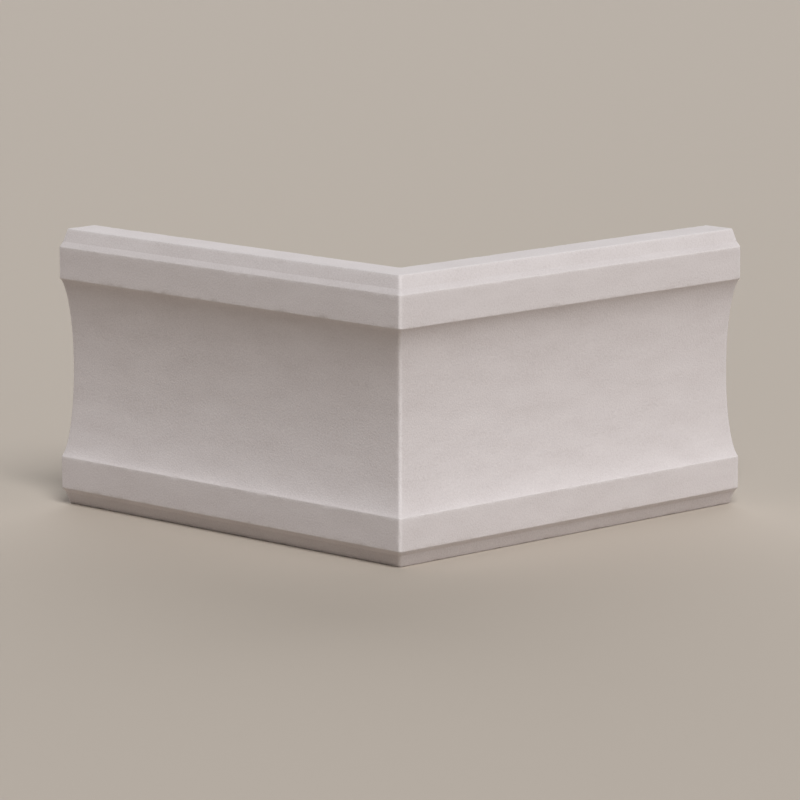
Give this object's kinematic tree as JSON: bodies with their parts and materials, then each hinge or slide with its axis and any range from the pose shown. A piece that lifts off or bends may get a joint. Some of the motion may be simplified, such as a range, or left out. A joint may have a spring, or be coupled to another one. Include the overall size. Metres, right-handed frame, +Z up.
{
  "type": "quoin stone",
  "caption": "Moulded L-shaped stone corner block that wraps the outside corner of a wall, with a coved face between flat bands and a sharp mitre at the arris.",
  "frame": {"origin": "middle of the bottom of the stone's bounding box, on the floor that its lower bed rests on", "axes": "+Z up from bed to bed; the outer arris stands at -X -Y and the two equal legs run from it along +X and +Y"},
  "size_m": [0.5, 0.5, 0.29],
  "materials": {
    "cast_stone": "matte, fine grained, off-white"
  },
  "bodies": {
    "root": {"quoin_stone": "cast_stone"}
  },
  "joints": []
}
